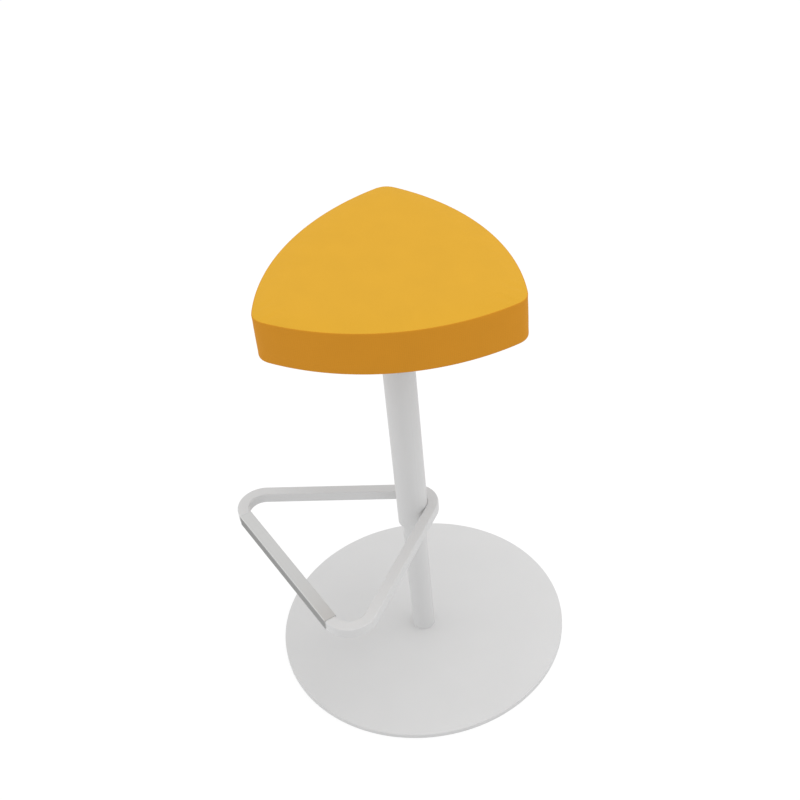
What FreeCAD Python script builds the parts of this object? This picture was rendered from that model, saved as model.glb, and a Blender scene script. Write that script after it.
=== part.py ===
import FreeCAD, Part
import math
import os
from FreeCAD import Vector

# A swivel bar stool: a flat round base, a column of two tubes round a gas spring, a triangular
# footrest that rides on the upper tube, and an upholstered seat with three rounded corners.
# Millimetres, +Z up. The origin lies on the floor, on the column's axis, and a sitter faces -Y.
# The pieces are placed at the top of the lift, where the gas spring leaves an empty stool.

# Overall
seat_height = 768.5
lift_stroke = 210.0
slide_clearance = 0.08
turn_clearance = 0.05

# Base
base_diameter = 490.0
base_thickness = 8.0
base_edge_round = 1.0
floor_ring_width = 12.0
floor_ring_height = 3.0
floor_ring_sunk = 2.0
floor_ring_inset = 12.0
base_screw_count = 3
base_screw_radius = 3.0
base_screw_head_radius = 6.0
base_screw_head_depth = 3.2
base_screw_reach = 9.0
base_screw_circle_radius = 13.0
base_screw_hole_clearance = 0.3

# Gas spring and its bearing
cylinder_diameter = 28.0
cylinder_wall = 1.5
cylinder_proud = 2.0
taper_length = 34.0
taper_drop = 0.7
rod_radius = 5.0
rod_end_radius = 4.0
rod_end_gap = 1.5
bottom_gap = 4.0
gland_height = 22.0
rod_seal_height = 5.0
rod_seal_radius = 9.0
rod_seal_rise = 9.0
stop_gap = 0.3
piston_height = 16.0
piston_seal_height = 3.0
piston_seal_depth = 2.0
valve_block_height = 35.0
release_pin_radius = 3.5
release_pin_proud = 6.0
release_pin_sunk = 10.0
release_pin_dome = 6.0
release_pin_travel = 6.0
race_thickness = 2.5
race_radius = 12.0
ball_radius = 2.0
ball_clearance = 0.02
ball_count = 10
ball_circle_radius = 8.0
cage_thickness = 1.2
cage_width = 5.0
clip_thickness = 1.2
clip_radius = 7.5
clip_groove = 0.8
clip_gap = 0.2
clip_mouth = 5.0

# Column
guide_thickness = 3.0
guide_length = 60.0
guide_flange = 3.0
stand_tube_wall = 2.0
stand_clearance = 5.0
plug_height = 12.0
plug_recess_radius = 9.0
plug_recess_depth = 5.0
bush_thickness = 4.0
bush_length = 40.0
bush_inset = 1.0
cover_tube_wall = 2.0
cover_tube_length = 400.5

# Footrest
footrest_bar = 18.0
footrest_reach = 241.5
footrest_apex_angle = 70.0
footrest_bend_radius = 25.0
footrest_rise = 20.5
footrest_edge_round = 2.0
guard_sheet = 1.0
guard_edge_round = 0.8
guard_end_gap = 0.5
guard_rivet_radius = 1.6
guard_rivet_depth = 8.0
guard_rivet_head_radius = 3.2
guard_rivet_head = 1.2
guard_rivet_spacing = 100.0

# Seat pan, socket and release lever
pan_radius = 60.0
pan_depth = 32.0
pan_sheet = 2.5
pan_flange_radius = 95.0
socket_wall = 8.0
socket_depth = 26.0
socket_flange_radius = 30.0
socket_flange = 5.0
lever_radius = 4.0
lever_pivot_reach = 42.0
lever_nose = 5.0
lever_pin_gap = 0.3
lever_exit = 4.0
lever_drop = 14.0
lever_drop_run = 28.0
lever_bend_radius = 14.0
lever_reach = 152.0
lever_slot_side = 2.0
lever_slot_rise = 3.0
grip_radius = 7.0
grip_length = 42.0
grip_end = 4.0
grip_edge_round = 3.0
bracket_sheet = 2.0
bracket_length = 16.0
bracket_ear_rise = 6.0
bracket_side_gap = 0.5
lever_pin_radius = 2.0
lever_pin_head_radius = 3.0
lever_pin_head = 1.2

# Seat
seat_thickness = 71.0
seat_vertex_reach = 216.4
seat_side_radius = 358.0
seat_corner_radius = 26.0
seat_top_round = 2.5
seat_bottom_round = 4.0
seat_crown = 4.0
crown_shares = (0.96, 0.8, 0.6, 0.4, 0.2, 0.06)
cover_thickness = 1.2
core_clearance = 0.3
board_thickness = 12.0
hem_width = 28.0
hem_corner_radius = 18.0
dust_cover_gap = 2.0
seat_bolt_count = 4
seat_bolt_radius = 3.0
seat_bolt_hole_clearance = 0.3
seat_bolt_head_flats = 10.0
seat_bolt_head = 4.0
bolt_washer_radius = 8.0
bolt_washer_thickness = 1.5
tee_nut_barrel_radius = 4.0
tee_nut_barrel = 9.0
tee_nut_flange_radius = 9.0
tee_nut_flange = 1.5
staple_count = 24
staple_width = 8.0
staple_wire = 0.8
staple_leg = 6.0

# Radii that follow from the sizes above, from the gas spring outwards
cylinder_radius = cylinder_diameter / 2
cylinder_bore = cylinder_radius - cylinder_wall
stand_bore = cylinder_radius + guide_thickness
stand_radius = stand_bore + stand_tube_wall
cover_bore = stand_radius + bush_thickness
cover_radius = cover_bore + cover_tube_wall
socket_radius = cylinder_radius + socket_wall

# Heights on the base, from the floor up
plate_bottom = floor_ring_height - floor_ring_sunk
plate_top = plate_bottom + base_thickness
plug_top = plate_top + plug_height
ball_gap = 2 * (ball_radius + ball_clearance)
ball_level = plug_top + race_thickness + ball_gap / 2
rod_shoulder = plug_top + 2 * race_thickness + ball_gap
cylinder_bottom = rod_shoulder + bottom_gap + lift_stroke
gland_top = cylinder_bottom + gland_height
piston_bottom = gland_top + stop_gap
piston_top = piston_bottom + piston_height

# Heights on the seat, from the top down
seat_bottom = seat_height - seat_thickness
core_bottom = seat_bottom + cover_thickness
board_top = core_bottom + board_thickness
pan_bottom = seat_bottom - pan_depth
pan_floor = pan_bottom + pan_sheet
flange_bottom = seat_bottom - pan_sheet
socket_bottom = pan_bottom - socket_depth
socket_top = pan_floor + socket_flange
cylinder_top = socket_top + cylinder_proud
taper_bottom = cylinder_top - taper_length
release_pin_top = cylinder_top + release_pin_proud
lever_level = release_pin_top + lever_pin_gap + lever_radius
guide_top = socket_bottom - lift_stroke - stand_clearance
stand_top = guide_top - guide_flange
cover_bottom = pan_bottom - cover_tube_length
footrest_bottom = cover_bottom + footrest_rise
footrest_top = footrest_bottom + footrest_bar


def polar(radius, degrees, z=0.0):
    """Point at a radius and an angle about the column's axis."""
    angle = math.radians(degrees)
    return Vector(radius * math.cos(angle), radius * math.sin(angle), z)


def disc(radius, low, high, centre=Vector()):
    """Upright solid cylinder between two heights."""
    return Part.makeCylinder(radius, high - low, Vector(centre.x, centre.y, low))


def ring(outer, inner, low, high, centre=Vector()):
    """Upright tube between two heights."""
    return disc(outer, low, high, centre).cut(disc(inner, low, high, centre))


def box(low, high):
    """Box between two opposite corners."""
    size = high - low
    return Part.makeBox(size.x, size.y, size.z, low)


def turned(profile):
    """Solid of revolution about the column's axis, from (radius, height) corners."""
    corners = [Vector(radius, 0, height) for radius, height in profile]
    outline = Part.makePolygon(corners + corners[:1])
    return Part.Face(outline).revolve(Vector(), Vector(0, 0, 1), 360)


def around(count, radius, first=0.0):
    """Points spaced evenly on a circle about the column's axis."""
    return [polar(radius, first + 360.0 * index / count) for index in range(count)]


def level_edges(shape, height):
    """Edges of a shape that lie flat at a height."""
    near = 1e-3
    return [edge for edge in shape.Edges
            if abs(edge.BoundBox.ZMin - height) < near and abs(edge.BoundBox.ZMax - height) < near]


def base_screw_places():
    return around(base_screw_count, base_screw_circle_radius, 90.0)


def base_screw(centre, extra):
    """Countersunk screw pointing up, its head flush under the plate; extra widens the shank."""
    shank = base_screw_radius + extra
    head_top = plate_bottom + base_screw_head_depth
    head = Part.makeCone(base_screw_head_radius, base_screw_radius, base_screw_head_depth,
                         Vector(centre.x, centre.y, plate_bottom))
    return head.fuse(disc(shank, head_top, plate_top + base_screw_reach, centre))


def floor_ring():
    outer = base_diameter / 2 - floor_ring_inset
    return ring(outer, outer - floor_ring_width, 0, floor_ring_height)


def base_plate():
    plate = disc(base_diameter / 2, plate_bottom, plate_top)
    plate = plate.makeFillet(base_edge_round, level_edges(plate, plate_top))
    plate = plate.cut(floor_ring())
    for place in base_screw_places():
        plate = plate.cut(base_screw(place, base_screw_hole_clearance))
    return plate


def base_screws():
    return Part.makeCompound([base_screw(place, 0.0) for place in base_screw_places()])


def stand_plug():
    """Steel plug in the tube's foot: the rod's end and its clip turn in the recess under it."""
    plug = ring(stand_bore, rod_end_radius + turn_clearance, plate_top, plug_top)
    plug = plug.cut(disc(plug_recess_radius, plate_top, plate_top + plug_recess_depth))
    for place in base_screw_places():
        plug = plug.cut(disc(base_screw_radius, plate_top, plate_top + base_screw_reach, place))
    return plug


def stand_tube():
    return ring(stand_radius, stand_bore, plate_top, stand_top)


def lower_race():
    return ring(race_radius, rod_end_radius + turn_clearance, plug_top, plug_top + race_thickness)


def upper_race():
    return ring(race_radius, rod_end_radius, rod_shoulder - race_thickness, rod_shoulder)


def bearing_balls():
    centres = [place + Vector(0, 0, ball_level) for place in around(ball_count, ball_circle_radius)]
    return Part.makeCompound([Part.makeSphere(ball_radius, centre) for centre in centres])


def bearing_cage():
    """Flat ring between the races with a pocket round each ball."""
    low = ball_level - cage_thickness / 2
    high = ball_level + cage_thickness / 2
    cage = ring(ball_circle_radius + cage_width / 2, ball_circle_radius - cage_width / 2, low, high)
    for place in around(ball_count, ball_circle_radius):
        cage = cage.cut(disc(ball_radius + ball_clearance, low, high, place))
    return cage


def clip_top():
    return plate_top + plug_recess_depth - clip_gap


def piston_rod():
    """Rod with a thinner foot below its shoulder, a groove for the clip and a thinner tip."""
    groove_top = clip_top()
    groove_bottom = groove_top - clip_thickness
    groove = rod_end_radius - clip_groove
    return turned([
        (0, plate_top + rod_end_gap), (rod_end_radius, plate_top + rod_end_gap),
        (rod_end_radius, groove_bottom), (groove, groove_bottom),
        (groove, groove_top), (rod_end_radius, groove_top),
        (rod_end_radius, rod_shoulder), (rod_radius, rod_shoulder),
        (rod_radius, piston_bottom), (rod_end_radius, piston_bottom),
        (rod_end_radius, piston_top), (0, piston_top)])


def rod_clip():
    """Flat clip pushed into the rod's groove from the side, with an open mouth."""
    top = clip_top()
    bottom = top - clip_thickness
    clip = ring(clip_radius, rod_end_radius - clip_groove, bottom, top)
    return clip.cut(box(Vector(0, -clip_mouth / 2, bottom), Vector(clip_radius, clip_mouth / 2, top)))


def piston_groove():
    middle = (piston_bottom + piston_top) / 2
    return middle - piston_seal_height / 2, middle + piston_seal_height / 2


def piston():
    radius = cylinder_bore - turn_clearance
    low, high = piston_groove()
    body = ring(radius, rod_end_radius, piston_bottom, piston_top)
    return body.cut(ring(radius, radius - piston_seal_depth, low, high))


def piston_seal():
    radius = cylinder_bore - turn_clearance
    low, high = piston_groove()
    return ring(radius, radius - piston_seal_depth, low, high)


def cylinder_form():
    """Outside of the pressure tube, with the slight taper that wedges into the seat's socket."""
    return turned([
        (0, cylinder_bottom), (cylinder_radius, cylinder_bottom), (cylinder_radius, taper_bottom),
        (cylinder_radius - taper_drop, cylinder_top), (0, cylinder_top)])


def gas_cylinder():
    return cylinder_form().cut(disc(cylinder_bore, cylinder_bottom, cylinder_top))


def rod_seal():
    low = cylinder_bottom + rod_seal_rise
    return ring(rod_seal_radius, rod_radius + turn_clearance, low, low + rod_seal_height)


def cylinder_gland():
    """Plug in the lower end of the pressure tube, bored for the rod, with the seal's groove."""
    gland = ring(cylinder_bore, rod_radius + turn_clearance, cylinder_bottom, gland_top)
    return gland.cut(rod_seal())


def valve_block():
    depth = release_pin_sunk + release_pin_travel
    block = disc(cylinder_bore, cylinder_top - valve_block_height, cylinder_top)
    return block.cut(disc(release_pin_radius + turn_clearance, cylinder_top - depth, cylinder_top))


def release_pin():
    """Valve pin with a domed top, which the lever's nose presses."""
    pin = disc(release_pin_radius, cylinder_top - release_pin_sunk, release_pin_top)
    foot = disc(release_pin_radius, cylinder_top - release_pin_sunk, cylinder_top)
    dome = Part.makeSphere(release_pin_dome, Vector(0, 0, release_pin_top - release_pin_dome))
    return pin.common(dome.fuse(foot)).removeSplitter()


def guide_sleeve():
    """Plastic sleeve in the top of the stand tube, with a flange that rests on the tube's end."""
    bore = cylinder_radius + slide_clearance
    sleeve = ring(stand_bore, bore, stand_top - guide_length, stand_top)
    return sleeve.fuse(ring(stand_radius, bore, stand_top, guide_top)).removeSplitter()


def top_bush():
    """Plastic bush round the top of the stand tube, on which the cover tube slides."""
    return ring(cover_bore - slide_clearance, stand_radius, stand_top - bush_length, stand_top)


def lower_bush():
    """Plastic bush in the mouth of the cover tube, which slides on the stand tube."""
    low = cover_bottom + bush_inset
    return ring(cover_bore, stand_radius + slide_clearance, low, low + bush_length)


def cover_tube():
    return ring(cover_radius, cover_bore, cover_bottom, pan_bottom)


def seat_socket():
    """Flanged steel socket through the pan's floor, bored to the taper that wedges into it."""
    body = turned([
        (0, socket_bottom), (socket_radius, socket_bottom), (socket_radius, pan_floor),
        (socket_flange_radius, pan_floor), (socket_flange_radius, socket_top), (0, socket_top)])
    return body.cut(cylinder_form())


def corner_arc(first, second, radius):
    """Arc that rounds the corner between two lines, each (unit normal, distance from the axis)."""
    (n1, d1), (n2, d2) = first, second
    cross = n1.x * n2.y - n1.y * n2.x
    e1, e2 = d1 - radius, d2 - radius
    centre = Vector((e1 * n2.y - e2 * n1.y) / cross, (n1.x * e2 - n2.x * e1) / cross, 0)
    middle = Vector(n1 + n2).normalize()
    return centre + n1 * radius, centre + middle * radius, centre + n2 * radius


def footrest_corners(inset):
    """The three rounded corners of the footrest's plan, moved inwards from its outer faces."""
    front_normal = -90.0
    lean = 90.0 + footrest_apex_angle / 2
    front = (polar(1, front_normal), footrest_reach - inset)
    right = (polar(1, front_normal + lean), cover_radius + footrest_bar - inset)
    left = (polar(1, front_normal - lean), cover_radius + footrest_bar - inset)
    bend = footrest_bend_radius + footrest_bar - inset
    apex = cover_radius + footrest_bar - inset
    return [corner_arc(front, right, bend), corner_arc(right, left, apex), corner_arc(left, front, bend)]


def footrest_outline(inset):
    """Closed wire of three straight runs and three bends."""
    corners = footrest_corners(inset)
    edges = []
    for here, following in zip(corners, corners[1:] + corners[:1]):
        edges.append(Part.Arc(*here).toShape())
        edges.append(Part.LineSegment(here[2], following[0]).toShape())
    wire = Part.Wire(edges)
    wire.translate(Vector(0, 0, footrest_bottom))
    return wire


def guard_rivet_places():
    return [-guard_rivet_spacing, 0.0, guard_rivet_spacing]


def guard_rivet(x):
    """Rivet from the column's side through the guard into the bar, with a flat head."""
    face = -(footrest_reach - footrest_bar - guard_sheet)
    level = (footrest_bottom + footrest_top) / 2
    inwards = Vector(0, -1, 0)
    shank = Part.makeCylinder(guard_rivet_radius, guard_rivet_depth, Vector(x, face, level), inwards)
    head = Part.makeCylinder(guard_rivet_head_radius, guard_rivet_head, Vector(x, face, level), -inwards)
    return shank.fuse(head).removeSplitter()


def guard_rivets():
    return Part.makeCompound([guard_rivet(x) for x in guard_rivet_places()])


def footrest_loop():
    """Square bar bent into a triangle whose apex lies round the cover tube."""
    outer = Part.Face(footrest_outline(0.0))
    inner = Part.Face(footrest_outline(footrest_bar))
    loop = outer.cut(inner).extrude(Vector(0, 0, footrest_bar))
    edges = level_edges(loop, footrest_bottom) + level_edges(loop, footrest_top)
    return loop.makeFillet(footrest_edge_round, edges).cut(guard_rivets())


def footrest_guard():
    """Stainless channel over the straight front run, open below."""
    end = footrest_corners(0.0)[0][0].x - guard_end_gap
    front, back = -footrest_reach, -(footrest_reach - footrest_bar)
    top = footrest_top + guard_sheet
    channel = box(Vector(-end, front - guard_sheet, footrest_bottom), Vector(end, back + guard_sheet, top))
    along = [edge for edge in level_edges(channel, top) if edge.Length > footrest_bar + 2 * guard_sheet]
    channel = channel.makeFillet(guard_edge_round, along)
    bar = box(Vector(-end, front, footrest_bottom), Vector(end, back, footrest_top))
    return channel.cut(bar).cut(guard_rivets())


def seat_bolt_places():
    circle = (pan_radius + pan_sheet + pan_flange_radius) / 2
    return around(seat_bolt_count, circle, 180.0 / seat_bolt_count)


def seat_bolt_holes(low, high):
    radius = seat_bolt_radius + seat_bolt_hole_clearance
    return Part.makeCompound([disc(radius, low, high, place) for place in seat_bolt_places()])


def seat_plate():
    """Pressed pan with a flange for the seat's bolts and a slot where the lever comes out."""
    wall = pan_radius + pan_sheet
    pan = turned([
        (socket_radius, pan_bottom), (wall, pan_bottom), (wall, flange_bottom),
        (pan_flange_radius, flange_bottom), (pan_flange_radius, seat_bottom),
        (pan_radius, seat_bottom), (pan_radius, pan_floor), (socket_radius, pan_floor)])
    side = lever_radius + lever_slot_side
    rise = lever_radius + lever_slot_rise
    slot = box(Vector(-wall, -side, lever_level - rise), Vector(-pan_radius / 2, side, lever_level + rise))
    return pan.cut(slot).cut(seat_bolt_holes(flange_bottom, seat_bottom))


def lever_pin_bore(radius, half_length):
    start = Vector(-lever_pivot_reach, -half_length, lever_level)
    return Part.makeCylinder(radius, 2 * half_length, start, Vector(0, 1, 0))


def bracket_half_width():
    return lever_radius + bracket_side_gap + bracket_sheet


def lever_bracket():
    """Bent strip on the pan's floor with two ears that carry the lever's pin."""
    half = bracket_half_width()
    near, far = -lever_pivot_reach + bracket_length / 2, -lever_pivot_reach - bracket_length / 2
    top = lever_level + bracket_ear_rise
    strip = box(Vector(far, -half, pan_floor), Vector(near, half, top))
    gap = lever_radius + bracket_side_gap
    hollow = box(Vector(far, -gap, pan_floor + bracket_sheet), Vector(near, gap, top))
    return strip.cut(hollow).cut(lever_pin_bore(lever_pin_radius, half))


def lever_pin():
    half = bracket_half_width()
    heads = lever_pin_bore(lever_pin_head_radius, half + lever_pin_head)
    between = lever_pin_bore(2 * lever_pin_head_radius, half)
    return lever_pin_bore(lever_pin_radius, half).fuse(heads.cut(between)).removeSplitter()


def bent_wire(points, radius):
    """Straight runs through the points, with each corner rounded to the radius."""
    edges = []
    start = points[0]
    for before, corner, after in zip(points, points[1:], points[2:]):
        back = Vector(before - corner).normalize()
        ahead = Vector(after - corner).normalize()
        half_turn = (math.pi - back.getAngle(ahead)) / 2
        setback = radius * math.tan(half_turn)
        inwards = Vector(back + ahead).normalize()
        middle = corner + inwards * (radius / math.cos(half_turn) - radius)
        leave = corner + ahead * setback
        edges.append(Part.LineSegment(start, corner + back * setback).toShape())
        edges.append(Part.Arc(corner + back * setback, middle, leave).toShape())
        start = leave
    edges.append(Part.LineSegment(start, points[-1]).toShape())
    return Part.Wire(edges)


def lever_points():
    """The lever's centre line: over the release pin, out of the pan, down, and out to the grip."""
    out = pan_radius + pan_sheet + lever_exit
    low = lever_level - lever_drop
    return [Vector(lever_nose, 0, lever_level), Vector(-out, 0, lever_level),
            Vector(-out - lever_drop_run, 0, low), Vector(-lever_reach, 0, low)]


def release_lever():
    points = lever_points()
    section = Part.Wire(Part.makeCircle(lever_radius, points[0], Vector(1, 0, 0)))
    rod = bent_wire(points, lever_bend_radius).makePipeShell([section], True, False)
    return rod.cut(lever_pin_bore(lever_pin_radius + turn_clearance, bracket_half_width()))


def lever_grip():
    """Plastic sleeve with a closed, rounded end, pushed on the lever."""
    tip = lever_points()[-1]
    outwards = Vector(-1, 0, 0)
    start = tip - outwards * (grip_length - grip_end)
    grip = Part.makeCylinder(grip_radius, grip_length, start, outwards)
    grip = grip.makeFillet(grip_edge_round, [edge for edge in grip.Edges if edge.Closed])
    return grip.cut(Part.makeCylinder(lever_radius, grip_length - grip_end, start, outwards))


def seat_outline(z, inset, corner_radius, share=1.0):
    """Plan of the seat: three bowed sides and three round corners, one corner to the front.

    Each side is an arc of the side radius less the inset, and each corner an arc that touches its
    two sides from inside. The share shrinks the whole plan towards the column's axis.
    """
    sine_60 = math.sin(math.radians(60))
    half_chord = seat_vertex_reach * sine_60
    side_offset = math.sqrt(seat_side_radius ** 2 - half_chord ** 2) - seat_vertex_reach / 2
    side_radius = seat_side_radius - inset
    to_corner = side_radius - corner_radius
    corner_reach = math.sqrt(to_corner ** 2 - (side_offset * sine_60) ** 2) - side_offset / 2
    edges = []
    for index in range(3):
        heading = -90.0 + 120.0 * index
        corner = polar(corner_reach, heading)
        following = polar(corner_reach, heading + 120.0)
        before = polar(-side_offset, heading - 60.0)
        side = polar(-side_offset, heading + 60.0)
        enter = before + Vector(corner - before).normalize() * side_radius
        leave = side + Vector(corner - side).normalize() * side_radius
        arrive = side + Vector(following - side).normalize() * side_radius
        tip = corner + polar(corner_radius, heading)
        belly = side + polar(side_radius, heading + 60.0)
        for start, middle, end in ((enter, tip, leave), (leave, belly, arrive)):
            places = [place * share + Vector(0, 0, z) for place in (start, middle, end)]
            edges.append(Part.Arc(*places).toShape())
    return Part.Wire(edges)


def cushion(inset, bottom, top):
    """Seat block with a rolled lower edge, a tight upper edge and a low crown over the top.

    The crown rises as a parabola from the upper edge, through smaller and smaller plans.
    """
    corner = seat_corner_radius - inset
    block = Part.Face(seat_outline(bottom, inset, corner)).extrude(Vector(0, 0, top - bottom))
    block = block.makeFillet(seat_top_round - inset, level_edges(block, top))
    block = block.makeFillet(seat_bottom_round - inset, level_edges(block, bottom))
    edge_corner = seat_corner_radius - seat_top_round
    rim = seat_outline(top, seat_top_round, edge_corner)
    steps = [seat_outline(top + seat_crown * (1 - share ** 2), seat_top_round, edge_corner, share)
             for share in crown_shares]
    return block.fuse(Part.makeLoft([rim] + steps, True, False)).removeSplitter()


def seat_core():
    """The space inside the seat's cloth that the board and the foam fill."""
    inset = cover_thickness + core_clearance
    return cushion(inset, core_bottom, seat_height - inset)


def slab(low, high):
    reach = 2 * seat_vertex_reach
    return box(Vector(-reach, -reach, low), Vector(reach, reach, high))


def staple_places():
    """Points and headings along the middle of the hem."""
    path = seat_outline(seat_bottom, hem_width / 2, hem_corner_radius)
    points = path.discretize(staple_count + 1)[:-1]
    places = []
    for index, point in enumerate(points):
        along = points[(index + 1) % staple_count] - points[index - 1]
        places.append((point, math.degrees(math.atan2(along.y, along.x))))
    return places


def staple():
    """Wire staple pointing up, with the inside of its crown at height 0."""
    half = staple_width / 2
    side = staple_wire / 2
    bar = box(Vector(-half, -side, -staple_wire), Vector(half, side, staple_leg))
    gap = box(Vector(staple_wire - half, -side, 0), Vector(half - staple_wire, side, staple_leg))
    return bar.cut(gap)


def cover_staples():
    staples = []
    for point, heading in staple_places():
        one = staple()
        one.rotate(Vector(), Vector(0, 0, 1), heading)
        one.translate(point)
        staples.append(one)
    return Part.makeCompound(staples)


def tee_nut(place):
    """Flanged nut let into the board's top, with its barrel down the hole."""
    flange_low = board_top - tee_nut_flange
    barrel = disc(tee_nut_barrel_radius, flange_low - tee_nut_barrel, flange_low, place)
    nut = barrel.fuse(disc(tee_nut_flange_radius, flange_low, board_top, place))
    return nut.cut(disc(seat_bolt_radius, flange_low - tee_nut_barrel, board_top, place)).removeSplitter()


def tee_nuts():
    return Part.makeCompound([tee_nut(place) for place in seat_bolt_places()])


def seat_board():
    """Plywood board with a rounded lower edge, holes for the nuts and the staples' pricks."""
    board = seat_core().common(slab(core_bottom, board_top))
    for place in seat_bolt_places():
        board = board.cut(disc(tee_nut_barrel_radius, core_bottom, board_top, place))
        board = board.cut(disc(tee_nut_flange_radius, board_top - tee_nut_flange, board_top, place))
    return board.cut(cover_staples())


def seat_foam():
    return seat_core().common(slab(board_top, seat_height + 2 * seat_crown))


def seat_cover():
    """Cloth over the foam and the board's edge, turned in under the board as a hem."""
    skin = cushion(0.0, seat_bottom, seat_height)
    inside = cushion(cover_thickness, core_bottom, seat_height - cover_thickness)
    mouth = Part.Face(seat_outline(seat_bottom, hem_width, hem_corner_radius))
    return skin.cut(inside).cut(mouth.extrude(Vector(0, 0, cover_thickness))).cut(cover_staples())


def dust_cover():
    """Black cloth under the board, inside the hem."""
    plan = Part.Face(seat_outline(seat_bottom, hem_width + dust_cover_gap, hem_corner_radius))
    return plan.extrude(Vector(0, 0, cover_thickness)).cut(seat_bolt_holes(seat_bottom, core_bottom))


def bolt_washers():
    low = flange_bottom - bolt_washer_thickness
    return Part.makeCompound([ring(bolt_washer_radius, seat_bolt_radius, low, flange_bottom, place)
                              for place in seat_bolt_places()])


def seat_bolt(place):
    """Hexagon bolt pointing up through washer, flange and board into its nut."""
    head_top = flange_bottom - bolt_washer_thickness
    head_bottom = head_top - seat_bolt_head
    corner = seat_bolt_head_flats / 2 / math.cos(math.radians(30))
    corners = [place + polar(corner, 60.0 * index, head_bottom) for index in range(7)]
    head = Part.Face(Part.makePolygon(corners)).extrude(Vector(0, 0, seat_bolt_head))
    return head.fuse(disc(seat_bolt_radius, head_top, board_top - tee_nut_flange, place)).removeSplitter()


def seat_bolts():
    return Part.makeCompound([seat_bolt(place) for place in seat_bolt_places()])


pieces = [
    floor_ring, base_plate, base_screws, stand_plug, stand_tube,
    lower_race, bearing_cage, bearing_balls, upper_race,
    piston_rod, rod_clip, piston, piston_seal,
    gas_cylinder, cylinder_gland, rod_seal, valve_block, release_pin,
    guide_sleeve, top_bush, lower_bush, cover_tube,
    footrest_loop, footrest_guard, guard_rivets,
    seat_plate, seat_socket, lever_bracket, lever_pin, release_lever, lever_grip,
    seat_board, seat_foam, seat_cover, dust_cover, cover_staples,
    tee_nuts, seat_bolts, bolt_washers,
]

os.makedirs("parts", exist_ok=True)
for piece in pieces:
    piece().exportStep("parts/" + piece.__name__ + ".step")
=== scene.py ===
import math

import bpy
import numpy as np
from mathutils import Matrix, Vector


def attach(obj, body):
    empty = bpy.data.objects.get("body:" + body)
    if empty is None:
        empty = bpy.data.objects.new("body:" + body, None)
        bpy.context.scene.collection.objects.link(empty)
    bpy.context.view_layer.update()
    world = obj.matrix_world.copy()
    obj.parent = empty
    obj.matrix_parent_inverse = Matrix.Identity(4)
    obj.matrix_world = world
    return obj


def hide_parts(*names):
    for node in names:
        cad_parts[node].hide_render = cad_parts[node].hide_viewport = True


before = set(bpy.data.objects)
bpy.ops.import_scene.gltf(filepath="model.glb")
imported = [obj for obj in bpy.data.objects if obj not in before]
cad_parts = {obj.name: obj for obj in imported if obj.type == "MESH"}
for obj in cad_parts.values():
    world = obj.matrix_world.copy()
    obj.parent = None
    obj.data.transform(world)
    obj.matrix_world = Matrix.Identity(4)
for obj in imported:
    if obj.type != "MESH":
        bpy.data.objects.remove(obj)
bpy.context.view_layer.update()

# Powder-coated steel: base plate, both tubes of the column and the footrest bar
# The plate is turned from 8 mm sheet with an eased upper edge, the tubes are drawn steel and the footrest
# is a bent square bar welded to the upper tube. All carry one baked coat of light grey polyester powder.


def linear(hex_colour):
    """Linear RGBA of an sRGB hex colour, by the standard's two-part curve."""
    parts = np.array([int(hex_colour[start:start + 2], 16) for start in (0, 2, 4)]) / 255
    curved = np.where(parts <= 0.04045, parts / 12.92, ((parts + 0.055) / 1.055) ** 2.4)
    return (*curved.tolist(), 1.0)


def add(tree, kind, inputs=None, **settings):
    """One shader node: settings are its own properties, inputs its sockets, each a value or a link."""
    made = tree.nodes.new("ShaderNode" + kind)
    for name, value in settings.items():
        setattr(made, name, value)
    for name, value in (inputs or {}).items():
        if isinstance(value, bpy.types.NodeSocket):
            tree.links.new(value, made.inputs[name])
        else:
            made.inputs[name].default_value = value
    return made


def start_material(name):
    """An empty node material and its tree."""
    made = bpy.data.materials.new(name)
    made.use_nodes = True
    made.node_tree.nodes.clear()
    return made, made.node_tree


def paint(made, *names):
    """Gives a material to CAD pieces."""
    for name in names:
        cad_parts[name].material_slots[0].material = made


def per_metre(millimetres):
    """Texture scale at which a pattern repeats about once in so many millimetres."""
    return 1000.0 / millimetres


def grey_powder_coat():
    """Satin polyester powder: a soft orange peel about 2 mm across with a finer grain on it."""
    coat, tree = start_material("light_grey_powder_coat")
    place = add(tree, "TexCoord").outputs["Object"]
    cloud = add(tree, "TexNoise", {"Vector": place, "Scale": per_metre(90), "Detail": 2.0})
    tint = add(tree, "MixRGB", {
        "Fac": cloud.outputs["Fac"], "Color1": linear("D6D6D6"), "Color2": linear("DADADA")})
    peel = add(tree, "TexNoise", {"Vector": place, "Scale": per_metre(2.0), "Detail": 1.0})
    grain = add(tree, "TexNoise", {"Vector": place, "Scale": per_metre(0.5), "Detail": 0.0})
    relief = add(tree, "Math", {0: grain.outputs["Fac"], 1: 0.25, 2: peel.outputs["Fac"]},
                 operation="MULTIPLY_ADD")
    bump = add(tree, "Bump", {"Height": relief.outputs[0], "Strength": 0.35, "Distance": 0.00006})
    gloss = add(tree, "MapRange", {"Value": peel.outputs["Fac"], "To Min": 0.44, "To Max": 0.56})
    shader = add(tree, "BsdfPrincipled", {
        "Base Color": tint.outputs[0], "Roughness": gloss.outputs[0], "Normal": bump.outputs[0], "IOR": 1.5})
    add(tree, "OutputMaterial", {"Surface": shader.outputs[0]})
    return coat


paint(grey_powder_coat(), "base_plate", "stand_tube", "cover_tube", "footrest_loop")

# Floor ring
# A strip of milky polyethylene pressed into the groove under the plate, which keeps the steel off the floor.
# Extruded plastic of this kind is waxy, slightly see-through and a little scuffed.


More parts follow.
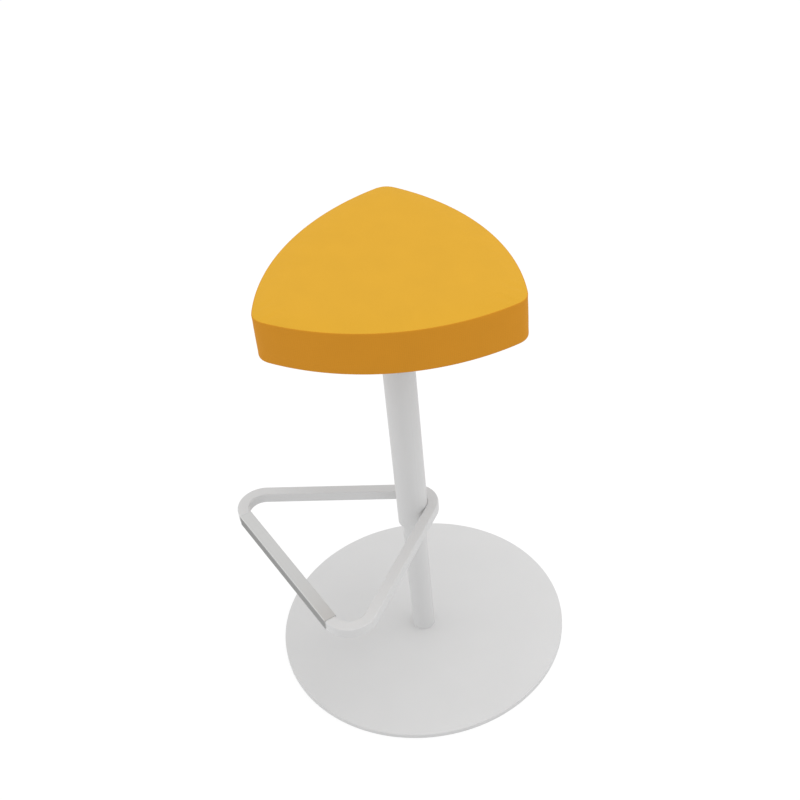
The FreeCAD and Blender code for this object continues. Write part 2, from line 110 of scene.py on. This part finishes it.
def milky_polyethylene():
    """Waxy, slightly see-through plastic with scuffs about 6 mm across."""
    plastic, tree = start_material("milky_polyethylene")
    place = add(tree, "TexCoord").outputs["Object"]
    scuffs = add(tree, "TexNoise", {"Vector": place, "Scale": per_metre(6.0), "Detail": 4.0})
    tint = add(tree, "MixRGB", {
        "Fac": scuffs.outputs["Fac"], "Color1": linear("C4C4BF"), "Color2": linear("D2D2CD")})
    gloss = add(tree, "MapRange", {"Value": scuffs.outputs["Fac"], "To Min": 0.35, "To Max": 0.55})
    shader = add(tree, "BsdfPrincipled", {
        "Base Color": tint.outputs[0], "Roughness": gloss.outputs[0], "IOR": 1.51, "Subsurface Weight": 0.2,
        "Subsurface Radius": (0.002, 0.002, 0.002)})
    add(tree, "OutputMaterial", {"Surface": shader.outputs[0]})
    return plastic


paint(milky_polyethylene(), "floor_ring")

# Turned and plated metal inside the column and under the seat
# Plug, races, piston, gland, valve block and socket are bright turned steel; screws, clips, staples, nuts and
# bolts are zinc plated; rod, balls and lever are hard chromed; the ball cage is pressed brass.


def bare_metal(name, hex_colour, roughness, groove_mm, depth):
    """Metal with turning grooves about the column's axis, as noise drawn out along Z and fine across it."""
    metal, tree = start_material(name)
    place = add(tree, "TexCoord").outputs["Object"]
    drawn = add(tree, "Mapping", {"Vector": place, "Scale": (0.1, 0.1, 1.0)})
    grooves = add(tree, "TexNoise", {
        "Vector": drawn.outputs[0], "Scale": per_metre(groove_mm), "Detail": 2.0})
    gloss = add(tree, "MapRange", {
        "Value": grooves.outputs["Fac"], "To Min": roughness * 0.8, "To Max": roughness * 1.2})
    bump = add(tree, "Bump", {"Height": grooves.outputs["Fac"], "Strength": 0.3, "Distance": depth})
    shader = add(tree, "BsdfPrincipled", {
        "Base Color": linear(hex_colour), "Metallic": 1.0, "Roughness": gloss.outputs[0],
        "Normal": bump.outputs[0]})
    add(tree, "OutputMaterial", {"Surface": shader.outputs[0]})
    return metal


turned_steel = bare_metal("turned_steel", "BEBFC1", 0.32, 0.4, 0.00002)
zinc_plate = bare_metal("zinc_plate", "C6C7C3", 0.38, 1.5, 0.00001)
hard_chrome = bare_metal("hard_chrome", "DADBDD", 0.08, 1.0, 0.000002)
pressed_brass = bare_metal("pressed_brass", "C9A35B", 0.3, 0.8, 0.00001)
paint(turned_steel, "stand_plug", "lower_race", "upper_race", "piston", "cylinder_gland", "valve_block",
      "seat_socket")
paint(zinc_plate, "base_screws", "rod_clip", "release_pin", "lever_pin", "cover_staples", "tee_nuts",
      "seat_bolts", "bolt_washers")
paint(hard_chrome, "bearing_balls", "piston_rod", "release_lever")
paint(pressed_brass, "bearing_cage")

# Black coated steel: gas cylinder, seat pan and lever bracket
# Drawn or pressed steel dipped in black paint, which lies thin and even and hides the sheet's grain.


def black_dip_paint():
    """Half-gloss black paint with a faint orange peel about 1.5 mm across."""
    coat, tree = start_material("black_dip_paint")
    place = add(tree, "TexCoord").outputs["Object"]
    peel = add(tree, "TexNoise", {"Vector": place, "Scale": per_metre(1.5), "Detail": 2.0})
    gloss = add(tree, "MapRange", {"Value": peel.outputs["Fac"], "To Min": 0.3, "To Max": 0.45})
    bump = add(tree, "Bump", {"Height": peel.outputs["Fac"], "Strength": 0.3, "Distance": 0.00005})
    shader = add(tree, "BsdfPrincipled", {
        "Base Color": linear("1D1D1E"), "Roughness": gloss.outputs[0], "Normal": bump.outputs[0], "IOR": 1.5})
    add(tree, "OutputMaterial", {"Surface": shader.outputs[0]})
    return coat


paint(black_dip_paint(), "gas_cylinder", "seat_plate", "lever_bracket")

# Moulded plastic and rubber: guide sleeve, bushes, lever grip and seals
# The bushes are white nylon, the sleeve and the grip black polypropylene from a lightly etched mould, and
# the seals black nitrile rubber.


def moulded(name, hex_colour, roughness, ior):
    """Moulded surface with the fine pebble of an etched mould, about 0.8 mm across."""
    plastic, tree = start_material(name)
    place = add(tree, "TexCoord").outputs["Object"]
    pebble = add(tree, "TexVoronoi", {"Vector": place, "Scale": per_metre(0.8)})
    bump = add(tree, "Bump", {"Height": pebble.outputs["Distance"], "Strength": 0.4, "Distance": 0.00004})
    gloss = add(tree, "MapRange", {
        "Value": pebble.outputs["Distance"], "To Min": roughness, "To Max": roughness + 0.12})
    shader = add(tree, "BsdfPrincipled", {
        "Base Color": linear(hex_colour), "Roughness": gloss.outputs[0], "Normal": bump.outputs[0],
        "IOR": ior})
    add(tree, "OutputMaterial", {"Surface": shader.outputs[0]})
    return plastic


paint(moulded("white_nylon", "E2E1DC", 0.4, 1.53), "top_bush", "lower_bush")
paint(moulded("black_polypropylene", "1E1E1F", 0.42, 1.49), "guide_sleeve", "lever_grip")
paint(moulded("nitrile_rubber", "161616", 0.6, 1.52), "piston_seal", "rod_seal")

# Footrest guard
# A channel folded from 1 mm stainless sheet over the front run of the footrest, so that shoes don't wear the
# coat, and held by rivets on its hidden side. The sheet is brushed along its length.


def brushed_stainless():
    """Satin stainless: brush lines about 0.3 mm apart and many centimetres long, along X."""
    steel, tree = start_material("brushed_stainless")
    place = add(tree, "TexCoord").outputs["Object"]
    drawn = add(tree, "Mapping", {"Vector": place, "Scale": (0.006, 1.0, 1.0)})
    lines = add(tree, "TexNoise", {"Vector": drawn.outputs[0], "Scale": per_metre(0.6), "Detail": 3.0})
    tint = add(tree, "MixRGB", {
        "Fac": lines.outputs["Fac"], "Color1": linear("C8C8C7"), "Color2": linear("D2D2D1")})
    gloss = add(tree, "MapRange", {"Value": lines.outputs["Fac"], "To Min": 0.26, "To Max": 0.42})
    bump = add(tree, "Bump", {"Height": lines.outputs["Fac"], "Strength": 0.25, "Distance": 0.00003})
    shader = add(tree, "BsdfPrincipled", {
        "Base Color": tint.outputs[0], "Metallic": 1.0, "Roughness": gloss.outputs[0],
        "Normal": bump.outputs[0], "Specular Tint": linear("8C8C8C")})
    add(tree, "OutputMaterial", {"Surface": shader.outputs[0]})
    return steel


paint(brushed_stainless(), "footrest_guard", "guard_rivets")

# Seat board
# Birch plywood, 12 mm, inside the seat. Its grain runs along X on the faces and its edge shows the plies.
wave_radians = 20


def half_wave(millimetres):
    """Scale at which a wave texture has half a wave in so many millimetres: at a scale of 1 it turns
    20 radians in a metre.
    """
    return per_metre(millimetres) / wave_radians * math.pi


def birch_plywood():
    """Grain as noise drawn out twentyfold along X, with dark and light plies 1.5 mm thick down Z."""
    wood, tree = start_material("birch_plywood")
    place = add(tree, "TexCoord").outputs["Object"]
    drawn = add(tree, "Mapping", {"Vector": place, "Scale": (0.05, 1.0, 0.2)})
    grain = add(tree, "TexNoise", {"Vector": drawn.outputs[0], "Scale": per_metre(3.0), "Detail": 5.0})
    plies = add(tree, "TexWave", {"Vector": place, "Scale": half_wave(1.5)}, bands_direction="Z")
    blend = add(tree, "Math", {0: plies.outputs["Fac"], 1: 0.3, 2: grain.outputs["Fac"]},
                operation="MULTIPLY_ADD")
    tint = add(tree, "MixRGB", {
        "Fac": blend.outputs[0], "Color1": linear("C9A878"), "Color2": linear("E0C79C")})
    bump = add(tree, "Bump", {"Height": grain.outputs["Fac"], "Strength": 0.3, "Distance": 0.0001})
    shader = add(tree, "BsdfPrincipled", {
        "Base Color": tint.outputs[0], "Roughness": 0.6, "Normal": bump.outputs[0], "IOR": 1.5})
    add(tree, "OutputMaterial", {"Surface": shader.outputs[0]})
    return wood


paint(birch_plywood(), "seat_board")

# Seat cushion
# A firm foam block under tightly drawn yellow cloth: a top panel sewn to an upright band along the upper
# edge, the band drawn round the board's lower edge and stapled underneath as a hem.
seat_top = 0.7685
seat_bottom = 0.6975
seat_vertex_reach = 0.2164
seat_side_radius = 0.358
seat_corner_radius = 0.026
upper_round = 0.0025
lower_round = 0.004
hem_width = 0.028
hem_corner_radius = 0.018
cloth_thickness = 0.0012
lid_rise = 0.9 * cloth_thickness
half_side_cells = 36
hem_rings = 5
lower_turns = (22.5, 45, 67.5, 90)
band_rings = 13
upper_turns = (20, 36, 45, 54, 70, 90)
seam_turn = 45
top_rings = 16
core_share = 0.6
seam_depth = 0.0006
top_swell = 0.0042
band_swell = 0.0010
cloth_pressure = 4.0
sim_frames = 20

third = math.radians(120)
sine_60 = math.sin(third / 2)
half_chord = seat_vertex_reach * sine_60
side_offset = math.sqrt(seat_side_radius ** 2 - half_chord ** 2) - seat_vertex_reach / 2


def corner_of(inset, corner_radius):
    """Distance of a corner's centre from the column, and half the angle that the corner's arc turns."""
    to_corner = seat_side_radius - inset - corner_radius
    reach = math.sqrt(to_corner ** 2 - (side_offset * sine_60) ** 2) - side_offset / 2
    return reach, math.atan2(side_offset * sine_60, reach + side_offset / 2)


def even_headings():
    """Headings of the outline's outward normals at points spaced evenly along a third of the seat."""
    reach, turn = corner_of(0.0, seat_corner_radius)
    turns = np.array([0.0, turn, third - turn, third])
    radii = np.array([seat_corner_radius, seat_side_radius, seat_corner_radius])
    lengths = np.concatenate([[0.0], np.cumsum(np.diff(turns) * radii)])
    steps = np.linspace(0, lengths[-1], 2 * half_side_cells, endpoint=False)
    return np.interp(steps, lengths, turns), 3 * lengths[-1]


third_headings, outline_length = even_headings()


def outline(inset, corner_radius):
    """Seat plan as an array of points, one for each even heading of three thirds.

    A point lies on the corner's arc where its heading is within the corner's turn, on the side's arc
    between two corners, and on the next corner's arc beyond. An inset shrinks the side's radius.
    """
    reach, turn = corner_of(inset, corner_radius)
    heading = np.stack([np.cos(third_headings), np.sin(third_headings)], -1)
    first = np.array([reach, 0.0]) + corner_radius * heading
    side = -side_offset * np.array([math.cos(third / 2), math.sin(third / 2)])
    middle = side + (seat_side_radius - inset) * heading
    last = reach * np.array([math.cos(third), math.sin(third)]) + corner_radius * heading
    on_corner = (third_headings < turn)[:, None]
    on_next = (third_headings > third - turn)[:, None]
    local = np.where(on_corner, first, np.where(on_next, last, middle))
    turned = []
    for index in range(3):
        angle = math.radians(-90 + 120 * index)
        spin = np.array([[math.cos(angle), math.sin(angle)], [-math.sin(angle), math.cos(angle)]])
        turned.append(local @ spin)
    return np.concatenate(turned)


def cushion_rows():
    """Insets, heights and corner radii of the cushion's rings, from the hem out, up the band and over.

    The lower and upper edges are quarter circles, and the band between them stands upright.
    Halfway round the upper edge the ring of the seam lies a little inside the arc, with a ring close on
    each side of it.
    """
    band_height = seat_top - upper_round - seat_bottom - lower_round
    hem = [(inset, seat_bottom, max(seat_corner_radius - inset, hem_corner_radius))
           for inset in np.linspace(hem_width, lower_round, hem_rings)]
    roll = [(lower_round * (1 - math.sin(turn)), seat_bottom + lower_round * (1 - math.cos(turn)), None)
            for turn in np.radians(lower_turns)]
    band = [(0.0, seat_bottom + lower_round + share * band_height, None)
            for share in np.linspace(0, 1, band_rings + 1)[1:]]
    edge = []
    for degrees in upper_turns:
        turn = math.radians(degrees)
        radius = upper_round - (seam_depth if degrees == seam_turn else 0)
        height = seat_top - upper_round + radius * math.sin(turn)
        edge.append((upper_round - radius * math.cos(turn), height, None))
    return hem + roll + band + edge


def ring_at(inset, z, corner_radius):
    """One ring of the cushion: the outline moved inwards, at a height."""
    plan = outline(inset, corner_radius or seat_corner_radius - inset)
    return np.column_stack([plan, np.full(len(plan), z)])


def core_patch(rim, tip):
    """A third of the top's middle as a Coons patch between two spokes and the rim either side of a tip.

    The patch is the sum of the two blends of opposite edges, less the blend of its four corners.
    """
    cells = half_side_cells
    columns = len(rim)
    share = np.linspace(0, 1, cells + 1)
    before = rim[(tip - cells + np.arange(cells + 1)) % columns]
    after = rim[(tip + cells - np.arange(cells + 1)) % columns]
    s, t = share[:, None, None], share[None, :, None]
    middle = np.array([0.0, 0.0, rim[0, 2]])
    spoke_before = middle + share[:, None] * (before[0] - middle)
    spoke_after = middle + share[:, None] * (after[0] - middle)
    across = (1 - t) * spoke_before[:, None] + t * after[:, None]
    along = (1 - s) * spoke_after[None] + s * before[None]
    corners = (1 - s) * (1 - t) * middle + s * (1 - t) * before[0] + (1 - s) * t * after[0] + s * t * rim[tip]
    return across + along - corners


def quads(index):
    """Faces between neighbouring entries of a grid of vertex numbers."""
    return np.stack([index[:-1, :-1], index[:-1, 1:], index[1:, 1:], index[1:, :-1]], -1).reshape(-1, 4)


def new_piece(name, points, faces):
    """A mesh piece at the origin, smooth shaded, from points and faces."""
    mesh = bpy.data.meshes.new(name)
    mesh.from_pydata(points.tolist(), [], [list(face) for face in faces])
    mesh.shade_smooth()
    piece = bpy.data.objects.new(name, mesh)
    bpy.context.scene.collection.objects.link(piece)
    return piece


rows = cushion_rows()
seam_row = len(rows) - len(upper_turns) + upper_turns.index(seam_turn)
rings = [ring_at(*row) for row in rows]
top_shares = np.linspace(1, core_share, top_rings + 1)[1:]
rings += [np.column_stack([rings[-1][:, :2] * share, rings[-1][:, 2]]) for share in top_shares]
columns = 6 * half_side_cells
wrapped = np.arange(columns + 1) % columns
ring_index = np.arange(len(rings))[:, None] * columns + wrapped
shell_faces = quads(ring_index)

inner = half_side_cells - 1
rim_start = (len(rings) - 1) * columns
spoke_start = len(rings) * columns
patch_start = spoke_start + 1 + 3 * inner
patches = [core_patch(rings[-1], 2 * half_side_cells * number) for number in range(3)]
middle_point = patches[0][:1, 0]
spokes = [patch[0, 1:-1] for patch in patches]
insides = [patch[1:-1, 1:-1].reshape(-1, 3) for patch in patches]


def core_numbers(number):
    """Vertex numbers of one third of the top's middle: centre point, two spokes, inside and two rims."""
    tip = 2 * half_side_cells * number
    steps = np.arange(half_side_cells + 1)
    index = np.zeros((half_side_cells + 1, half_side_cells + 1), int)
    index[0, 0] = spoke_start
    index[1:-1, 0] = spoke_start + 1 + ((number - 1) % 3) * inner + np.arange(inner)
    index[0, 1:-1] = spoke_start + 1 + number * inner + np.arange(inner)
    index[1:-1, 1:-1] = patch_start + number * inner ** 2 + np.arange(inner ** 2).reshape(inner, inner)
    index[-1, :] = rim_start + (tip - half_side_cells + steps) % columns
    index[:, -1] = rim_start + (tip + half_side_cells - steps) % columns
    return index


core_faces = [quads(core_numbers(number))[:, ::-1] for number in range(3)]

# The lid closes the cushion from below, just under the board, and the dust cloth hides it.
lid_start = patch_start + 3 * inner ** 2
lid_ring = ring_at(hem_width, seat_bottom + lid_rise, hem_corner_radius)
lid_faces = np.stack([lid_start + wrapped[:-1], lid_start + wrapped[1:], wrapped[1:], wrapped[:-1]], -1)
lid = [lid_start + wrapped[:-1][::-1]]
points = np.concatenate([*rings, middle_point, *spokes, *insides, lid_ring])
faces = [*shell_faces, *np.concatenate(core_faces), *lid_faces, *lid]
cushion = new_piece("seat_cushion", points, faces)


def swell(piece, held, most):
    """Blows a piece up as cloth with the held points pinned, then eases each move to its own limit.

    A move d with limit m becomes m tanh(d / m), so small moves stay and large ones level off.
    """
    piece.vertex_groups.new(name="held").add(held.tolist(), 1.0, "REPLACE")
    cloth = piece.modifiers.new("cloth", "CLOTH")
    cloth.settings.vertex_group_mass = "held"
    cloth.settings.use_pressure = True
    cloth.settings.uniform_pressure_force = cloth_pressure
    cloth.settings.effector_weights.gravity = 0.0
    cloth.point_cache.frame_end = sim_frames
    for number in range(1, sim_frames + 1):
        bpy.context.scene.frame_set(number)
    moved = piece.evaluated_get(bpy.context.evaluated_depsgraph_get()).to_mesh()
    after = np.empty(len(points) * 3)
    moved.vertices.foreach_get("co", after)
    piece.modifiers.remove(cloth)
    piece.vertex_groups.clear()
    bpy.context.scene.frame_set(1)
    move = after.reshape(-1, 3) - points
    length = np.linalg.norm(move, axis=1, keepdims=True)
    eased = most[:, None] * np.tanh(length / most[:, None])
    piece.data.vertices.foreach_set("co", (points + move * eased / np.maximum(length, 1e-9)).ravel())
    piece.data.update()


row_number = np.repeat(np.arange(len(rings)), columns)
row_number = np.concatenate([row_number, np.full(len(points) - len(row_number), len(rings))])
row_number[lid_start:] = 0
held_rings = hem_rings + len(lower_turns) // 2
held_points = np.flatnonzero((row_number < held_rings) | (row_number == seam_row))
swell(cushion, held_points, np.where(row_number > seam_row, top_swell, band_swell))


def yellow_cloth(name, hex_colour):
    """Plain-woven wool blend: matt, with a short nap that catches light at the rim.

    The threads would be 0.7 mm apart. The weave is the product of two waves of 2.8 mm, one each way, which
    is coarser, so that it shows at arm's length.
    """
    cloth, tree = start_material(name)
    thread = add(tree, "UVMap", uv_map="cut").outputs["UV"]
    weft = add(tree, "TexWave", {"Vector": thread, "Scale": half_wave(1.4)}, bands_direction="X")
    warp = add(tree, "TexWave", {"Vector": thread, "Scale": half_wave(1.4)}, bands_direction="Y")
    weave = add(tree, "Math", {0: weft.outputs["Fac"], 1: warp.outputs["Fac"]}, operation="MULTIPLY")
    place = add(tree, "TexCoord").outputs["Object"]
    fuzz = add(tree, "TexNoise", {"Vector": place, "Scale": per_metre(0.8), "Detail": 3.0})
    cloud = add(tree, "TexNoise", {"Vector": place, "Scale": per_metre(45), "Detail": 3.0})
    relief = add(tree, "Math", {0: fuzz.outputs["Fac"], 1: 0.6, 2: weave.outputs[0]},
                 operation="MULTIPLY_ADD")
    bump = add(tree, "Bump", {"Height": relief.outputs[0], "Strength": 0.3, "Distance": 0.0002})
    shade = add(tree, "MapRange", {"Value": cloud.outputs["Fac"], "To Min": 0.96, "To Max": 1.03})
    # The colour also darkens where the relief is low: painted shade in the gaps between threads, with random
    # tone from the fuzz.
    dip = add(tree, "MapRange", {"Value": relief.outputs[0], "To Min": 0.94, "To Max": 1.03})
    both = add(tree, "Math", {0: shade.outputs[0], 1: dip.outputs[0]}, operation="MULTIPLY")
    tint = add(tree, "HueSaturation", {"Color": linear(hex_colour), "Value": both.outputs[0]})
    shader = add(tree, "BsdfPrincipled", {
        "Base Color": tint.outputs[0], "Roughness": 0.85, "Normal": bump.outputs[0], "IOR": 1.45,
        "Specular IOR Level": 0.3, "Sheen Weight": 0.08, "Sheen Roughness": 0.4,
        "Sheen Tint": linear("F5D58A")})
    add(tree, "OutputMaterial", {"Surface": shader.outputs[0]})
    return cloth


def cut_map(piece):
    """UV map in metres, as the cloth is cut: flat for the top, unrolled along the outline for the band.

    The top panel takes the piece's first material, the band, hem and lid its second, the same cloth in a
    darker, more saturated colour that paints the band's shade.
    """
    mesh = piece.data
    corner = np.empty(len(mesh.loops), int)
    mesh.loops.foreach_get("vertex_index", corner)
    cut = points[corner, :2].copy()
    along = np.linspace(0, outline_length, columns + 1)
    band_quads = seam_row * columns
    run = np.stack([along[:-1], along[1:], along[1:], along[:-1]], -1)
    cut[:band_quads * 4, 0] = np.tile(run.ravel(), seam_row)
    cut[:band_quads * 4, 1] = points[corner[:band_quads * 4], 2]
    mesh.uv_layers.new(name="cut").data.foreach_set("uv", cut.ravel())
    number = np.arange(len(mesh.polygons))
    on_top = (number >= band_quads) & (number < len(number) - len(lid_faces) - len(lid))
    mesh.polygons.foreach_set("material_index", np.where(on_top, 0, 1))


cut_map(cushion)
cushion.data.materials.append(yellow_cloth("yellow_cloth_top", "DEA82E"))
# The band, hem and lid get the top's cloth in a darker, more saturated colour: painted shade for the upright
# band, not a second cloth.
cushion.data.materials.append(yellow_cloth("yellow_cloth_band_painted_shade", "D58F1F"))
smooth = cushion.modifiers.new("smooth", "SUBSURF")
smooth.levels = smooth.render_levels = 1
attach(cushion, "seat")
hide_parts("seat_cover", "seat_foam")

# Dust cloth
# Thin black spunbond cloth under the board, drawn flat inside the hem and clamped by the pan's flange. It
# sags about a millimetre between the two.
dust_gap = 0.002
dust_inner_radius = 0.088
dust_level = seat_bottom + 0.0005
dust_sag = 0.0011
dust_ripple = 0.0004
dust_thickness = 0.0004
dust_rows = 14
staple_count = 24


def dust_surface():
    """Ring between the hem's outline and a circle: straight across, sagging as a half sine, with a ripple.

    The ripple runs round the outline as one wave for each staple and dies out inwards.
    """
    outer = outline(hem_width + dust_gap, hem_corner_radius)
    angle = np.arctan2(outer[:, 1], outer[:, 0])
    inner_edge = dust_inner_radius * np.stack([np.cos(angle), np.sin(angle)], -1)
    across = np.linspace(0, 1, dust_rows + 1)[:, None, None]
    plan = (1 - across) * outer + across * inner_edge
    wave = dust_ripple * np.sin(staple_count * np.linspace(0, 2 * math.pi, columns, endpoint=False))
    sag = dust_sag * np.sin(math.pi * across[..., 0])
    height = dust_level - sag + wave * sag / dust_sag * (1 - across[..., 0])
    return np.concatenate([plan, height[..., None]], -1)


def black_spunbond():
    """Spunbond polypropylene: fibres laid at random, pressed together in points 1.5 mm apart."""
    cloth, tree = start_material("black_spunbond")
    place = add(tree, "TexCoord").outputs["Object"]
    dots = add(tree, "TexVoronoi", {"Vector": place, "Scale": per_metre(1.5), "Randomness": 0.2})
    fibre = add(tree, "TexNoise", {"Vector": place, "Scale": per_metre(1.0), "Detail": 6.0})
    tint = add(tree, "MixRGB", {
        "Fac": fibre.outputs["Fac"], "Color1": linear("161616"), "Color2": linear("262626")})
    bump = add(tree, "Bump", {"Height": dots.outputs["Distance"], "Strength": 0.5, "Distance": 0.0001})
    shader = add(tree, "BsdfPrincipled", {
        "Base Color": tint.outputs[0], "Roughness": 0.8, "Normal": bump.outputs[0], "IOR": 1.49})
    add(tree, "OutputMaterial", {"Surface": shader.outputs[0]})
    return cloth


dust_grid = dust_surface()
dust_index = np.arange(dust_rows + 1)[:, None] * columns + wrapped
dust_cloth = new_piece("dust_cloth", dust_grid.reshape(-1, 3), quads(dust_index)[:, ::-1])
dust_cloth.data.materials.append(black_spunbond())
wall = dust_cloth.modifiers.new("wall", "SOLIDIFY")
wall.thickness = dust_thickness
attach(dust_cloth, "seat")
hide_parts("dust_cover")

# Studio
# A white floor and surround that light the stool from all round, one large soft lamp high above it, a
# little to the camera's right, and a weak one low on either side.
floor_half = 8.0
floor_glow = 0.84
world_light = 0.84
lamp_place = Vector((0.7, 0.95, 4.7))
lamp_aim = Vector((0.0, 0.0, 0.4))
lamp_size = 3.1
lamp_power = 49.0
right_fill_place = Vector((1.2, 1.8, 0.5))
left_fill_place = Vector((-1.3, -1.9, 0.5))
fill_size = 1.5
right_fill_power = 3.0
left_fill_power = 7.0


def seen_rays(tree):
    """1 for rays from the camera or off a shiny or clear surface, which see the white surround."""
    path = add(tree, "LightPath")
    shiny = add(tree, "Math", {0: path.outputs["Is Camera Ray"], 1: path.outputs["Is Glossy Ray"]},
                operation="MAXIMUM")
    clear = add(tree, "Math", {0: shiny.outputs[0], 1: path.outputs["Is Transmission Ray"]},
                operation="MAXIMUM")
    return clear.outputs[0]


def white_floor():
    """Pale floor that looks white, with only a part of the shadows that fall on it."""
    paper, tree = start_material("white_floor")
    pale = add(tree, "BsdfDiffuse", {"Color": linear("E6E6E6")})
    shadow = add(tree, "BsdfDiffuse", {"Color": linear("7A7A7A")})
    glow = add(tree, "Emission", {"Strength": floor_glow})
    white = add(tree, "AddShader", {0: shadow.outputs[0], 1: glow.outputs[0]})
    mixed = add(tree, "MixShader", {0: seen_rays(tree), 1: pale.outputs[0], 2: white.outputs[0]})
    add(tree, "OutputMaterial", {"Surface": mixed.outputs[0]})
    return paper


floor_points = floor_half * np.array([[-1, -1, 0], [1, -1, 0], [1, 1, 0], [-1, 1, 0]])
floor = new_piece("floor", floor_points, [(0, 1, 2, 3)])
floor.data.materials.append(white_floor())

scene = bpy.context.scene
scene.view_settings.view_transform = "Standard"
scene.world = bpy.data.worlds.new("surround")
scene.world.use_nodes = True
sky = scene.world.node_tree
sky.nodes.clear()
lit = add(sky, "Background", {"Color": linear("FFFFFF"), "Strength": world_light})
white = add(sky, "Background", {"Color": linear("FFFFFF"), "Strength": 1.0})
surround = add(sky, "MixShader", {0: seen_rays(sky), 1: lit.outputs[0], 2: white.outputs[0]})
add(sky, "OutputWorld", {"Surface": surround.outputs[0]})


def soft_box(name, place, size, power):
    """A square area lamp that faces the middle of the stool."""
    light = bpy.data.lights.new(name, "AREA")
    light.size = size
    light.energy = power
    made = bpy.data.objects.new(name, light)
    scene.collection.objects.link(made)
    made.location = place
    made.rotation_euler = (lamp_aim - place).to_track_quat("-Z", "Y").to_euler()


soft_box("top_lamp", lamp_place, lamp_size, lamp_power)
soft_box("right_fill", right_fill_place, fill_size, right_fill_power)
soft_box("left_fill", left_fill_place, fill_size, left_fill_power)

# Camera
# It looks down on the stool from the sitter's left and front, from a little over two metres.
camera_place = Vector((1.39465, -0.75414, 1.82614))
camera_heading = math.radians(56.092)
camera_tilt = math.radians(90 - 41.351)
camera_roll = math.radians(-2.058)
camera_data = bpy.data.cameras.new("camera")
camera_data.lens = 60.43
camera_data.sensor_width = 36.0
camera_data.shift_x = -0.1288
camera_data.shift_y = 0.0462
camera = bpy.data.objects.new("camera", camera_data)
scene.collection.objects.link(camera)
camera.location = camera_place
camera.rotation_euler = (Matrix.Rotation(camera_heading, 3, "Z") @ Matrix.Rotation(camera_tilt, 3, "X")
                         @ Matrix.Rotation(camera_roll, 3, "Z")).to_euler()
scene.camera = camera
